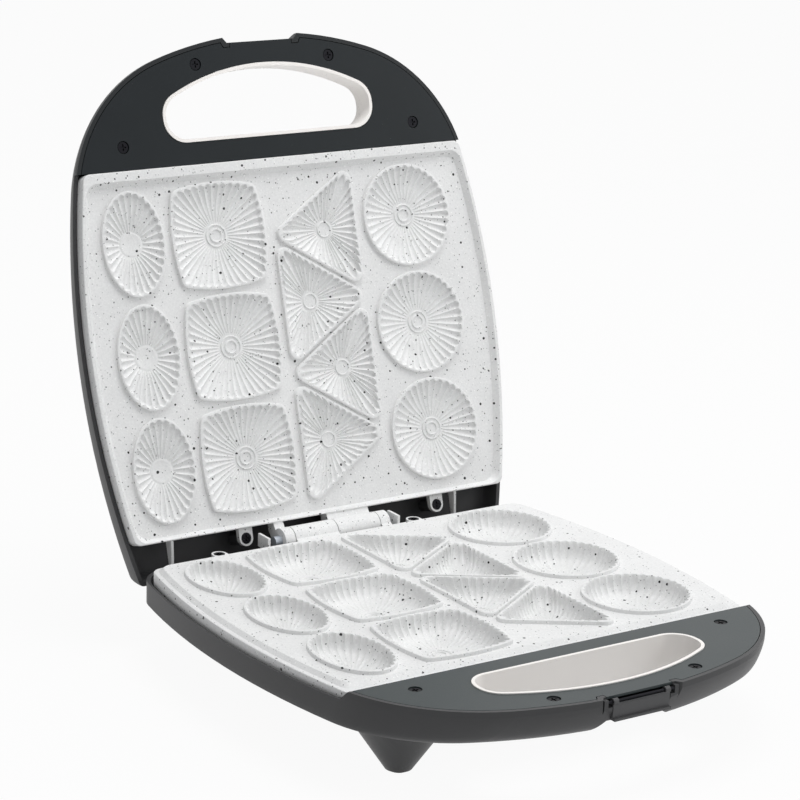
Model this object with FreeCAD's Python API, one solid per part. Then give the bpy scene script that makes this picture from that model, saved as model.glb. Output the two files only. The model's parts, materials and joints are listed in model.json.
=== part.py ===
import FreeCAD, Part
import math
import os

V = FreeCAD.Vector

# Sizes in millimetres. Pieces are drawn with the lid shut: X to the right, Y towards the hinge,
# Z up, with the parting plane of the two baking plates at Z = 0.

# baking plates
plate_half_width = 138.1
plate_back = 105.3
plate_front = -106.0
bow_radius = 510.0
bow_centre_y = -3.0
base_corner = 8.0
lid_corner = 5.0
plate_edge_round = 0.6
parting_gap = 0.15
floor_depth = 2.2
sheet = 2.0
skirt_depth = 7.0
skirt_wall = 2.2
skirt_bite = 1.5
deep_skirt = 11.6
deep_skirt_gap_half = 116.0
# The field of the base plate stands above a low border, and the lid plate's raised rim closes round it.
# Width of the flat and run of the slope at the sides, at the handle and at the hinge.
border_depth = 4.2
border_flat = (2.8, 5.3, 0.8)
border_slope = (2.4, 3.4, 1.9)
rim_rise = 1.2
rim_flat = (2.2, 5.6, 0.8)
rim_slope = (2.8, 3.2, 2.0)
field_corner = 8.0

# moulds
row_pitch = 65.0
row_shift = 0.6
oval_x = -101.0
oval_half_width = 19.8
oval_half_length = 30.2
square_x = -45.5
square_half_corner = 28.2
square_bow = 2.7
square_corner = 5.0
round_x = 84.5
round_radius = 30.5
triangle_pitch = 41.2
triangle_shift = 0.75
triangle_left_side = -9.0
triangle_right_side = 48.0
triangle_height = 54.0
triangle_half_side = 32.75
triangle_corner = 5.5
lip_width = 0.8
base_mould_depth = 13.2
lid_mould_depth = 5.1
# inset from the lip and share of the depth, from the lip to the bottom of a mould
base_mould_profile = ((0.0, 0.0), (1.0, 0.42), (3.4, 0.70), (7.0, 0.91), (11.0, 1.0))
lid_mould_profile = ((0.0, 0.0), (0.7, 0.42), (7.0, 0.76), (11.0, 1.0))
cup_least_inset = 0.3

# hinge
hinge_y = 115.9
hinge_z = -5.25
open_angle = 106.9
pin_radius = 3.2
pin_running_gap = 0.05
knuckle_radius = 7.4
knuckle_gap = 0.5
barrel_length = 29.0
ear_width = 6.5
pin_left_overhang = 4.4
pin_right_overhang = 1.0
# upright fins of the base plate that keep the pin from sliding out
guard_places = (-48.5, 40.5)
guard_thick = 1.6
guard_front = 107.0
guard_back = 118.6
guard_top = 0.8

# plate screw lugs
lug_y = 111.5
lug_radius = 4.5
lid_lug_top = 1.6
base_lug_top = 4.6
lug_thick = 3.2
base_lug_x = (-79.0, 54.0)
lid_lug_x = (-54.0, 79.0)

# housings
side_gap = 0.5
rim_groove = 0.9
wall = 2.4
# level of a housing's rim beside the plate, at the handle and at the back, and run of its front ramp
lid_rim = (5.2, 5.2, 0.0)
base_rim = (7.8, 10.8, 5.6)
cover_level = 2.2
cover_thick = 2.4
cover_gap = 0.4
handle_front = -179.5
handle_front_radius = 228.0
handle_corner_radius = 90.0
base_back = 120.5
base_back_corner = 24.0
base_back_drop = 23.3
base_front_drop = 23.0
base_back_wall_top = 13.5
back_gap_half = 112.0
lid_back = 128.5
lid_back_corner = 3.0
lid_back_rise = 18.8
lid_front_rise = 16.4
# depth of the upright part of the outer faces, and how far they draw in below it:
# sides, handle front, back, and the turn of the sides
upright_depth = 5.4
base_draw_in = (1.0, 12.5, 0.5, 6.0)
lid_draw_in = (4.0, 14.0, 5.0, 7.0)
stop_gap = 0.3
stop_x = 70.0
stop_width = 12.0
stop_height = 7.0
stop_below = 2.1
bulkhead_y = -108.2
bulkhead = 2.0
tongue_spans = ((-95.0, -60.0), (-17.5, 17.5), (60.0, 95.0))
# thin fins behind the lid plate
lid_fin_places = (-102.5, 92.5)
lid_fin_thick = 1.6
lid_fin_low = 0.6
lid_fin_gap = 1.1

# finger opening and its ring
grip_back = -119.3
grip_front = -162.3
grip_half_width = 71.0
grip_end_radius = 14.0
grip_front_radius = 142.0
ring_wall = 1.9
ring_proud = 0.5
ring_gap = 0.2
sleeve = 2.0

# handle screws
screw_back = (98.7, -119.7)
screw_front = (45.2, -163.8)
screw_recess_radius = 3.7
screw_head_radius = 3.2
screw_head_height = 1.5
screw_sunk = 0.5
screw_shank_radius = 1.6
screw_length = 9.0
lug_screw_length = 7.2
boss_radius = 4.0

# feet
floor_level = 57.0
foot_x = 90.0
foot_front_y = -94.0
foot_back_y = 86.0
foot_tip_radius = 6.5
foot_flare = 0.68
foot_hollow_step = 3.1
foot_floor = 1.0
pad_radius = 5.0
pad_height = 2.4
pad_proud = 1.2

# lock clip
notch_floor_y = -175.0
notch_half_inner = 22.7
notch_half_outer = 27.4
notch_reach = 5.6
clip_slot_depth = 7.4
clip_slot_margin = 1.5
clip_half_width = 18.0
clip_end_gap = 0.5
clip_arm = 3.0
clip_window_low = -5.6
clip_thick = 2.0
clip_pivot_z = -4.9
clip_knuckle_radius = 1.7
clip_pin_radius = 0.9
clip_lip = 1.6
clip_lip_thick = 1.2
cover_lip_thick = 1.4
clip_grip_gap = 0.25
clip_ear_rise = 1.6
clip_ear_thick = 2.4
clip_ear_bite = 1.0
# finger scoop under the clip
scoop_half = 19.5
scoop_flare = 6.5
scoop_top = 15.6
scoop_foot = 24.0
scoop_back = -156.0

# heaters and what is inside
heater_radius = 3.25
heater_left_x = -78.8
heater_right_x = 51.0
heater_front_y = -98.0
heater_back_y = 96.0
heater_bend = 12.0
base_heater_level = 10.5
lid_heater_level = 9.5
cradle_half_width = 3.0
cradle_end = 2.0
reflector_inset = 9.0
reflector_thick = 0.6
base_reflector_level = 16.2
lid_reflector_level = 13.4
lamp_x = 12.0
lamp_y = -113.4
lens_radius = 3.0
lens_step = 0.3
gland_y = 97.0
gland_hole_radius = 5.0
gland_flange_radius = 6.8
gland_seat = 1.9
gland_sunk = 0.4
gland_flange = 1.4
gland_lock = 1.0
gland_nose = 6.0
gland_nose_wall = 1.2
cord_bore_radius = 3.4

vent_count = 7
vent_pitch = 14.0
vent_width = 4.0
vent_length = 28.0
vent_rows = (-40.0, 20.0)
support_x = 62.0
support_y = 48.0
support_radius = 3.0
support_bite = 0.5
seal_length = 3.0
seal_step = 0.4
heater_pin_radius = 1.2
heater_pin_length = 5.0
lead_radius = 1.0
lead_turn_x = 10.0
stat_offset = 27.5
stat_flange_radius = 8.0
stat_flange = 2.0
stat_radius = 6.5
stat_height = 6.5
stat_tab_x = 3.5
stat_tab_width = 4.0
stat_tab_thick = 0.8
stat_tab_end = 9.0
fuse_offset = -21.0
fuse_radius = 2.0
fuse_length = 11.0
fuse_lead_radius = 0.5
fuse_lead_length = 19.0
terminal_ways = 3
terminal_pitch = 7.0
terminal_depth = 10.0
terminal_height = 8.0
terminal_hole_radius = 1.8
terminal_hole_floor = 3.0
terminal_gap = 3.0
lamp_radius = 2.2
lamp_length = 7.0

# small gaps of fits and holes, depth of a screw's cross, and how far a cut runs past what it cuts
fit_gap = 0.2
hole_gap = 0.25
cross_slot = 0.9
cross_depth = 0.8
clear_cut = 1.0

# half size of a cut that runs right across, and how far down it goes
wide = 200.0
deep = 60.0

# place of the finished frame: under the middle of the opened object
frame_y = 19.77


def line(a, b):
    return Part.LineSegment(a, b).toShape()


def arc(a, b, c):
    return Part.Arc(a, b, c).toShape()


def block(x0, x1, y0, y1, z0, z1):
    return Part.makeBox(x1 - x0, y1 - y0, z1 - z0, V(x0, y0, z0))


def post(x, y, z0, z1, radius):
    return Part.makeCylinder(radius, z1 - z0, V(x, y, z0), V(0, 0, 1))


def bar(x0, x1, y, z, radius):
    return Part.makeCylinder(radius, x1 - x0, V(x0, y, z), V(1, 0, 0))


def prism(wire, z0, z1):
    low = wire.copy()
    low.translate(V(0, 0, z0))
    return Part.Face(low).extrude(V(0, 0, z1 - z0))


def slice_along_x(points, x0, x1):
    corners = [V(x0, y, z) for y, z in points]
    return Part.Face(Part.makePolygon(corners + corners[:1])).extrude(V(x1 - x0, 0, 0))


def joined(shapes):
    return shapes[0].multiFuse(shapes[1:]).removeSplitter()


def flipped(shape):
    return shape.mirror(V(0, 0, 0), V(0, 0, 1))


def towards(centre, target, radius):
    step = target.sub(centre)
    step.normalize()
    return centre.add(step.multiply(radius))


def between(centre, a, b):
    radius = a.sub(centre).Length
    return towards(centre, a.add(b).multiply(0.5), radius)


def mirrored(p):
    return V(-p.x, p.y, p.z)


side_centre = V(plate_half_width - bow_radius, bow_centre_y, 0)
body_side_radius = bow_radius + side_gap + wall


def line_corner(side_radius, level, corner, facing):
    """Centre of a corner round between the bowed side and a straight edge at y = level."""
    y = level - facing * corner
    x = side_centre.x + math.sqrt((side_radius - corner) ** 2 - (y - side_centre.y) ** 2)
    return V(x, y, 0)


def even(inset):
    return inset, inset, inset


def added(a, b):
    return [x + y for x, y in zip(a, b)]


def plate_wire(insets, corner):
    """Outline of a plate, drawn in by an inset at the sides, at the handle and at the hinge."""
    side = bow_radius - insets[0]
    front = plate_front + insets[1]
    back = plate_back - insets[2]
    back_centre = line_corner(side, back, corner, 1)
    front_centre = line_corner(side, front, corner, -1)
    a = V(back_centre.x, back, 0)
    b = towards(side_centre, back_centre, side)
    c = towards(side_centre, front_centre, side)
    d = V(front_centre.x, front, 0)
    right = [
        arc(a, between(back_centre, a, b), b),
        arc(b, V(side_centre.x + side, side_centre.y, 0), c),
        arc(c, between(front_centre, c, d), d),
    ]
    left_back = V(-back_centre.x, back_centre.y, 0)
    left_front = V(-front_centre.x, front_centre.y, 0)
    left_side = V(-side_centre.x - side, side_centre.y, 0)
    e, f, g, h = mirrored(d), mirrored(c), mirrored(b), mirrored(a)
    left = [
        arc(e, between(left_front, e, f), f),
        arc(f, left_side, g),
        arc(g, between(left_back, g, h), h),
    ]
    return Part.Wire(right + [line(d, e)] + left + [line(h, a)])


def arc_corner(centre_a, radius_a, centre_b, radius_b, corner):
    """Centre of a round that runs inside two arcs and joins them."""
    r1 = radius_a - corner
    r2 = radius_b - corner
    gap = centre_b.sub(centre_a)
    d = gap.Length
    along = (r1 * r1 - r2 * r2 + d * d) / (2 * d)
    across = math.sqrt(r1 * r1 - along * along)
    ux, uy = gap.x / d, gap.y / d
    return V(centre_a.x + along * ux + across * uy, centre_a.y + along * uy - across * ux, 0)


def body_wire(inset, back, back_corner, draw_in=(0, 0, 0, 0)):
    """Plan of a housing with its handle, drawn in by the inset and by the amounts for each face."""
    side_in, front_in, back_in, turn = draw_in
    centre = V(side_centre.x, side_centre.y + turn, 0)
    side = body_side_radius - inset - side_in
    front_centre = V(0, handle_front + handle_front_radius, 0)
    front = handle_front_radius - inset - front_in
    corner_centre = arc_corner(centre, side, front_centre, front, handle_corner_radius - inset - front_in)
    back_line = back - inset - back_in
    back_round = back_corner - inset
    y = back_line - back_round
    x = centre.x + math.sqrt((side - back_round) ** 2 - (y - centre.y) ** 2)
    back_centre = V(x, y, 0)
    a = V(back_centre.x, back_line, 0)
    b = towards(centre, back_centre, side)
    c = towards(centre, corner_centre, side)
    d = towards(front_centre, corner_centre, front)
    tip = V(0, front_centre.y - front, 0)
    left_back = mirrored(back_centre)
    left_corner = mirrored(corner_centre)
    left_side = V(-centre.x - side, centre.y, 0)
    e, f, g, h = mirrored(d), mirrored(c), mirrored(b), mirrored(a)
    return Part.Wire([
        arc(a, between(back_centre, a, b), b),
        arc(b, V(centre.x + side, centre.y, 0), c),
        arc(c, between(corner_centre, c, d), d),
        arc(d, tip, e),
        arc(e, between(left_corner, e, f), f),
        arc(f, left_side, g),
        arc(g, between(left_back, g, h), h),
        line(h, a),
    ])


def grip_wire(offset):
    """Outline of the finger opening, grown by the offset."""
    half = grip_half_width - grip_end_radius
    top = grip_back - grip_end_radius
    core = grip_front_radius - grip_end_radius
    centre_y = grip_front + grip_front_radius
    low = centre_y - math.sqrt(core * core - half * half)
    a, b = V(-half, top, 0), V(half, top, 0)
    c, d = V(half, low, 0), V(-half, low, 0)
    inner = Part.Wire([line(a, b), line(b, c), arc(c, V(0, centre_y - core, 0), d), line(d, a)])
    return inner.makeOffset2D(grip_end_radius + offset)


def notch_wire(grow):
    """Plan of the lock clip's notch in the front of a handle."""
    inner = notch_half_inner + grow
    outer = notch_half_outer + grow
    y0 = notch_floor_y + grow
    y1 = notch_floor_y - notch_reach
    corners = [V(-inner, y0, 0), V(inner, y0, 0), V(outer, y1, 0), V(-outer, y1, 0)]
    return Part.makePolygon(corners + corners[:1])


def scoop(grow):
    """Finger scoop through the front of the base's handle under the lock clip, grown by the wall inside."""
    half = scoop_half + grow
    foot = half + scoop_flare
    corners = [(-foot, -deep), (-foot, -scoop_foot), (-half, grow - scoop_top),
               (half, grow - scoop_top), (foot, -scoop_foot), (foot, -deep)]
    points = [V(x, -wide, z) for x, z in corners]
    return Part.Face(Part.makePolygon(points + points[:1])).extrude(V(0, scoop_back + grow + wide, 0))


def round_mould(inset):
    return Part.Wire(Part.makeCircle(round_radius - inset))


def oval_mould(inset):
    oval = Part.Ellipse(V(0, 0, 0), oval_half_length - inset, oval_half_width - inset).toShape()
    oval.rotate(V(0, 0, 0), V(0, 0, 1), 90)
    return Part.Wire(oval)


def square_mould(inset):
    full = square_half_corner - square_corner
    c = full - inset
    s = c + square_bow * c / full
    p = [V(c, -c, 0), V(c, c, 0), V(-c, c, 0), V(-c, -c, 0)]
    m = [V(s, 0, 0), V(0, s, 0), V(-s, 0, 0), V(0, -s, 0)]
    core = Part.Wire([arc(p[i], m[i], p[(i + 1) % 4]) for i in range(4)])
    return core.makeOffset2D(square_corner)


def triangle_mould(inset):
    base = triangle_half_side - triangle_corner
    height = triangle_height - 2 * triangle_corner
    slant = math.sqrt(base * base + height * height)
    inner = base * height / (base + slant)
    k = (inner - inset) / inner
    left = -inner * k
    p = [V(left, -base * k, 0), V(left, base * k, 0), V(left + height * k, 0, 0)]
    return Part.makePolygon(p + p[:1]).makeOffset2D(triangle_corner)


def turned_triangle_mould(inset):
    wire = triangle_mould(inset)
    wire.rotate(V(0, 0, 0), V(0, 0, 1), 180)
    return wire


def triangle_centre_offset():
    base = triangle_half_side - triangle_corner
    height = triangle_height - 2 * triangle_corner
    return base * height / (base + math.sqrt(base * base + height * height)) + triangle_corner


def mould_list():
    """Each mould as its outline and the place of its middle."""
    moulds = []
    for row in (-1, 0, 1):
        y = row * row_pitch + row_shift
        moulds.append((oval_mould, oval_x, y))
        moulds.append((square_mould, square_x, y))
        moulds.append((round_mould, round_x, y))
    inside = triangle_centre_offset()
    for step in range(4):
        y = (1.5 - step) * triangle_pitch + triangle_shift
        if step % 2 == 0:
            moulds.append((triangle_mould, triangle_left_side + inside, y))
        else:
            moulds.append((turned_triangle_mould, triangle_right_side - inside, y))
    return moulds


def dish(outline, x, y, steps):
    """Solid with one outline per step of inset and level."""
    wires = []
    for inset, level in steps:
        wire = outline(inset)
        wire.translate(V(x, y, level))
        wires.append(wire)
    return Part.makeLoft(wires, True, True)


def dish_steps(way, depth, profile):
    """Insets and levels of a mould, from clear of the lip to the bottom."""
    steps = [(lip_width, -way * clear_cut)]
    for inset, share in profile:
        steps.append((lip_width + inset, way * max(share * depth, parting_gap)))
    return steps


def cup_steps(steps, way):
    """The same dish one sheet thickness further out, from the underside of the plate floor."""
    under = floor_depth + sheet
    out = [(0.0, way * (under - sheet / 2)), (0.0, way * under)]
    for inset, level in steps:
        if level * way + sheet > under:
            out.append((max(inset - sheet, cup_least_inset), level + way * sheet))
    return out


def heater_path(level):
    x0, x1, r = heater_left_x, heater_right_x, heater_bend
    y0, y1 = heater_back_y, heater_front_y
    k = r * (1 - math.sqrt(0.5))
    a, b = V(x0, y0, level), V(x0, y1 + r, level)
    c, d = V(x0 + r, y1, level), V(x1 - r, y1, level)
    e, f = V(x1, y1 + r, level), V(x1, y0, level)
    m = V(x0 + k, y1 + k, level)
    n = V(x1 - k, y1 + k, level)
    return Part.Wire([line(a, b), arc(b, m, c), line(c, d), arc(d, n, e), line(e, f)])


def heater_rod(level):
    ring = Part.Wire(Part.makeCircle(heater_radius, V(heater_left_x, heater_back_y, level), V(0, -1, 0)))
    return heater_path(level).makePipeShell([ring], True, True)


def heater_ends(level):
    """Ceramic seals with their steel pins at the two ends of a heater."""
    ends = []
    for x in (heater_left_x, heater_right_x):
        start = V(x, heater_back_y, level)
        seal = Part.makeCylinder(heater_radius - seal_step, seal_length, start, V(0, 1, 0))
        tip = V(x, heater_back_y + seal_length, level)
        pin = Part.makeCylinder(heater_pin_radius, heater_pin_length, tip, V(0, 1, 0))
        ends.append(seal.fuse(pin))
    return Part.makeCompound(ends)


def edge_rounded(solid, level):
    top = [e for e in solid.Edges if abs(e.CenterOfMass.z - level) < 0.01]
    return solid.makeFillet(plate_edge_round, top)


def raised(wire, level):
    wire.translate(V(0, 0, level))
    return wire


def base_sheet():
    """Base plate without its moulds: a field above a low border, and a skirt that is deep at the sides."""
    outline = plate_wire(even(0), base_corner)
    body = edge_rounded(prism(outline, -deep_skirt, -border_depth), -border_depth)
    field = added(border_flat, border_slope)
    foot = raised(plate_wire(border_flat, field_corner), -border_depth)
    top = raised(plate_wire(field, field_corner), -floor_depth)
    body = body.fuse(Part.makeLoft([foot, top], True, True))
    low = -deep_skirt - clear_cut
    inner = plate_wire(even(skirt_wall), base_corner - skirt_wall)
    under = prism(plate_wire(field, field_corner), low, -floor_depth - sheet)
    wall_gap = prism(inner, low, -border_depth - sheet)
    half = deep_skirt_gap_half
    back_gap = block(-half, half, 0, plate_back + clear_cut, low, -skirt_depth)
    return body.cut(under).cut(wall_gap).cut(back_gap)


def lid_sheet():
    """Lid plate without its moulds: a floor inside a raised rim, and a skirt."""
    body = edge_rounded(prism(plate_wire(even(0), lid_corner), -rim_rise, skirt_depth), -rim_rise)
    inner = plate_wire(even(skirt_wall), lid_corner - skirt_wall)
    under = prism(inner, floor_depth + sheet, skirt_depth + clear_cut)
    mouth = prism(plate_wire(rim_flat, field_corner), -rim_rise - clear_cut, -rim_rise)
    top = raised(plate_wire(rim_flat, field_corner), -rim_rise)
    floor = raised(plate_wire(added(rim_flat, rim_slope), field_corner), floor_depth)
    tray = Part.makeLoft([top, floor], True, True)
    return body.cut(under).cut(tray.fuse(mouth))


def knuckle(x0, x1, way):
    round_part = bar(x0, x1, hinge_y, hinge_z, knuckle_radius)
    root = plate_back - skirt_bite
    reach = knuckle_radius * 0.72
    if way < 0:
        low = -skirt_depth
        high = -border_depth - plate_edge_round
        arm = [(root, low), (hinge_y, low), (hinge_y, hinge_z + reach * 0.6),
               (hinge_y - reach, hinge_z + reach * 0.6), (plate_back + 0.4, high), (root, high)]
    else:
        low = plate_edge_round - rim_rise + 0.2
        high = skirt_depth - 0.3
        arm = [(root, low), (plate_back + 0.6, low), (hinge_y - reach, hinge_z + reach * 0.6),
               (hinge_y, hinge_z), (hinge_y + reach, hinge_z + reach), (plate_back + 4.6, high), (root, high)]
    return round_part.fuse(slice_along_x(arm, x0, x1))


def pin_guard(x):
    """Upright fin of the base plate beside an end of the hinge pin."""
    root = plate_back - skirt_bite
    high = -border_depth - plate_edge_round
    outline = [(root, -skirt_depth), (guard_back, -skirt_depth), (guard_back, guard_top),
               (guard_front, guard_top), (guard_front, high), (root, high)]
    return slice_along_x(outline, x - guard_thick / 2, x + guard_thick / 2)


def lid_fin(x):
    """Thin fin behind the lid plate, reaching towards the back wall of the lid housing."""
    root = plate_back - skirt_bite
    end = lid_back - wall - lid_fin_gap
    outline = [(root, lid_fin_low), (plate_back + lid_fin_gap, lid_fin_low), (end, lid_rim[1]),
               (end, skirt_depth), (root, skirt_depth)]
    return slice_along_x(outline, x - lid_fin_thick / 2, x + lid_fin_thick / 2)


def lug_level(way):
    return base_lug_top if way < 0 else lid_lug_top


def lug(x, way):
    """Screw lug behind a plate."""
    top = lug_level(way)
    z = sorted((way * top, way * (top + lug_thick)))
    tab = block(x - lug_radius, x + lug_radius, plate_back - skirt_bite, lug_y, z[0], z[1])
    return tab.fuse(post(x, lug_y, z[0], z[1], lug_radius))


def lug_hole(x, way):
    top = lug_level(way)
    z = sorted((way * top, way * (top + lug_thick)))
    hole = post(x, lug_y, z[0] - clear_cut, z[1] + clear_cut, screw_shank_radius + hole_gap)
    seat = way * (top + screw_head_height + fit_gap)
    z = sorted((way * (top - clear_cut), seat))
    return hole.fuse(post(x, lug_y, z[0], z[1], screw_head_radius + fit_gap))


def tongue(x0, x1, way):
    """Tab on the front of a plate that tucks under the handle cover."""
    z = sorted((way * (cover_level + cover_thick), way * skirt_depth))
    return block(x0, x1, bulkhead_y - bulkhead, plate_front + skirt_bite, z[0], z[1])


def cradle(x, way, level):
    z = sorted((way * (floor_depth + sheet / 2), way * level))
    return block(x - cradle_half_width, x + cradle_half_width, heater_front_y + heater_bend + cradle_end,
                 heater_back_y - cradle_end, z[0], z[1])


ear_inner = barrel_length + knuckle_gap
ear_outer = ear_inner + ear_width


def plate(way, sheet_body, fins, steps, lug_places, level):
    # the base carries the barrel left of the middle and the ear on the right; the lid the other way round
    pieces = [sheet_body] + fins
    barrel = sorted((way * knuckle_gap / 2, way * barrel_length))
    ear = sorted((-way * ear_inner, -way * ear_outer))
    pieces.append(knuckle(barrel[0], barrel[1], way))
    pieces.append(knuckle(ear[0], ear[1], way))
    for x in lug_places:
        pieces.append(lug(x, way))
    for x0, x1 in tongue_spans:
        pieces.append(tongue(x0, x1, way))
    for x in (heater_left_x, heater_right_x):
        pieces.append(cradle(x, way, level))
    cups = []
    hollows = []
    for outline, x, y in mould_list():
        lip = outline(0)
        lip.translate(V(x, y, 0))
        z = sorted((way * parting_gap, way * (floor_depth + sheet / 2)))
        cups.append(prism(lip, z[0], z[1]))
        cups.append(dish(outline, x, y, cup_steps(steps, way)))
        hollows.append(dish(outline, x, y, steps))
    body = pieces[0].multiFuse(pieces[1:] + cups)
    pin_gap = 0.0 if way < 0 else pin_running_gap
    cuts = hollows + [lug_hole(x, way) for x in lug_places]
    cuts.append(bar(-ear_outer - clear_cut, ear_outer + clear_cut, hinge_y, hinge_z, pin_radius + pin_gap))
    cuts.append(heater_rod(way * level))
    return body.cut(Part.makeCompound(cuts)).removeSplitter()


def plate_screws(lug_places, way):
    screws = []
    top = -lug_level(way) - fit_gap
    for x in lug_places:
        head = post(x, lug_y, top - screw_head_height + fit_gap, top, screw_head_radius)
        shank = post(x, lug_y, top - lug_screw_length, top - screw_head_height / 2, screw_shank_radius)
        screws.append(cross_cut(head.fuse(shank), x, lug_y, top))
    group = Part.makeCompound(screws)
    return group if way < 0 else flipped(group)


def cross_cut(screw, x, y, top):
    half = screw_head_radius * 0.6
    slot = cross_slot / 2
    one = block(x - half, x + half, y - slot, y + slot, top - cross_depth, top + clear_cut)
    two = block(x - slot, x + slot, y - half, y + half, top - cross_depth, top + clear_cut)
    return screw.cut(one.fuse(two))


def cover_screw_places():
    return [(s * x, y) for x, y in (screw_back, screw_front) for s in (-1, 1)]


def cover_screws(way):
    screws = []
    top = -cover_level - screw_sunk
    for x, y in cover_screw_places():
        head = post(x, y, top - screw_head_height, top, screw_head_radius)
        shank = post(x, y, top - screw_length, top - screw_head_height / 2, screw_shank_radius)
        screws.append(cross_cut(head.fuse(shank), x, y, top))
    group = Part.makeCompound(screws)
    return group if way < 0 else flipped(group)


def handle_cover(way):
    low = -cover_level - cover_thick
    full = prism(body_wire(wall + cover_gap, base_back, base_back_corner), low, -cover_level)
    under = low - clear_cut
    full = full.cut(block(-wide, wide, plate_front - side_gap, wide, under, clear_cut))
    full = full.cut(prism(notch_wire(wall + cover_gap), under, clear_cut))
    half = notch_half_inner - clip_slot_margin - cover_gap
    back = notch_floor_y + 2 * wall
    edge = block(-half, half, notch_floor_y, back, -cover_level - cover_lip_thick, -cover_level)
    full = full.fuse(edge).removeSplitter()
    cuts = [prism(grip_wire(ring_gap), under, clear_cut)]
    seat = cover_level + screw_sunk + screw_head_height
    for x, y in cover_screw_places():
        cuts.append(post(x, y, under, clear_cut, screw_shank_radius + hole_gap))
        cuts.append(post(x, y, -seat, clear_cut, screw_recess_radius))
    full = full.cut(Part.makeCompound(cuts))
    return full if way < 0 else flipped(full)


def slope(back_value, front_value, back):
    """Level of a sloping outer face at any y, from its values at the back and at the front."""
    rate = (back_value - front_value) / (back - handle_front)
    return lambda y: front_value + rate * (y - handle_front)


def under_slope(level_at, drop):
    """Everything beyond a sloping outer face, for a base; drop moves the face inwards."""
    ya, yb = -wide, wide
    corners = [(ya, -level_at(ya) + drop), (yb, -level_at(yb) + drop), (yb, -wide), (ya, -wide)]
    return slice_along_x(corners, -wide, wide)


def grip_ring(level_at, way):
    outer = prism(grip_wire(0), -deep, -cover_level + ring_proud)
    inner = prism(grip_wire(-ring_wall), -deep - clear_cut, clear_cut)
    ring = outer.cut(inner).cut(under_slope(level_at, 0.0))
    return ring.cut(scoop(0)) if way < 0 else flipped(ring)


def drawn_in(share):
    """Part of the draw-in reached at a share of the depth: a slanting face that rounds over at the end."""
    return 0.72 * share ** 1.3 + 0.28 * share ** 9


def rounded_body(inset, back, back_corner, level_at, draw_in):
    """Solid housing form from the cover level outwards, drawn for the base."""
    wires = []
    for share in (0.0, 0.15, 0.3, 0.45, 0.6, 0.72, 0.82, 0.9, 0.96, 1.0):
        part = drawn_in(share)
        wire = body_wire(inset, back, back_corner, [part * amount for amount in draw_in])
        front_level = upright_depth + share * (level_at(handle_front) - inset - upright_depth)
        back_level = upright_depth + share * (level_at(back) - inset - upright_depth)
        tilt = math.degrees(math.atan2(back_level - front_level, back - handle_front))
        wire.rotate(V(0, handle_front, 0), V(1, 0, 0), -tilt)
        wire.translate(V(0, 0, -front_level))
        wires.append(wire)
    upright = prism(body_wire(inset, back, back_corner), -upright_depth, -cover_level)
    return upright.fuse(Part.makeLoft(wires, True, False))


def shell(back, back_corner, level_at, draw_in):
    """Outer and inner forms of a hollow tray, open at the top, drawn for the base."""
    outer = rounded_body(0.0, back, back_corner, level_at, draw_in)
    inner = rounded_body(wall, back, back_corner, level_at, draw_in)
    inner = inner.fuse(prism(body_wire(wall, back, back_corner), -cover_level, clear_cut))
    inner = inner.cut(prism(notch_wire(wall), -deep, 2 * clear_cut))
    return outer, inner


def boss_column(x, y, top, within):
    return post(x, y, -deep, top, boss_radius).common(within)


def above_rim(rim, back):
    """Everything above the rim of a housing beside its plate, drawn for the base."""
    front_level, back_level, ramp = rim
    start = plate_front - side_gap
    rate = (back_level - front_level) / (back - start - ramp)
    end_level = front_level + rate * (wide - start - ramp)
    corners = [(start, wide), (wide, wide), (wide, -end_level), (start + ramp, -front_level)]
    if ramp > 0:
        corners.append((start, -cover_level))
    return slice_along_x(corners, -wide, wide)


def clip_ears():
    """Ears at the two ends of the notch that hold the clip's pin."""
    ears = []
    for side in (-1, 1):
        x = sorted((side * (clip_half_width + clip_end_gap), side * (notch_half_inner + clip_ear_bite)))
        y = (notch_floor_y - clip_ear_thick, notch_floor_y + clip_ear_bite)
        ears.append(block(x[0], x[1], y[0], y[1], -deep, clip_pivot_z + clip_ear_rise))
    return ears


def housing_common(back, back_corner, level_at, draw_in, way, rim, lug_places, cones, hollows):
    """Tray with handle, sleeve, bosses and notch, drawn for the base."""
    form, inner = shell(back, back_corner, level_at, draw_in)
    if way < 0:
        form = form.cut(scoop(0))
        inner = inner.cut(scoop(wall))
    outer = form.cut(prism(notch_wire(0), -deep, clear_cut))
    if cones:
        outer = outer.multiFuse(cones)
        inner = inner.multiFuse(hollows)
    tray = outer.cut(inner)
    under_cover = -cover_level - cover_thick
    lug_under = lug_level(way) + lug_thick
    adds = []
    behind = block(-wide, wide, bulkhead_y - bulkhead, bulkhead_y, -deep, -skirt_depth)
    adds.append(behind.common(outer))
    adds.append(prism(grip_wire(ring_gap + sleeve), -deep, under_cover).common(outer))
    for x, y in cover_screw_places():
        adds.append(boss_column(x, y, under_cover, outer))
    for x in lug_places:
        adds.append(boss_column(x, lug_y, -lug_under, outer))
    if way < 0:
        adds += [ear.common(form) for ear in clip_ears()]
    tray = joined([tray] + adds)
    cuts = [prism(grip_wire(ring_gap), -deep, clear_cut)]
    cuts.append(above_rim(rim, back))
    half = notch_half_inner - clip_slot_margin
    slot_front = notch_floor_y - clip_ear_thick - clear_cut
    slot_back = notch_floor_y + wall + clear_cut
    cuts.append(block(-half, half, slot_front, slot_back, -clip_slot_depth, clear_cut))
    for x, y in cover_screw_places():
        cuts.append(post(x, y, -cover_level - screw_sunk - screw_length, clear_cut, screw_shank_radius))
    for x in lug_places:
        tip = lug_level(way) + fit_gap + lug_screw_length
        cuts.append(post(x, lug_y, -tip, clear_cut, screw_shank_radius))
    return tray.cut(Part.makeCompound(cuts))


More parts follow.
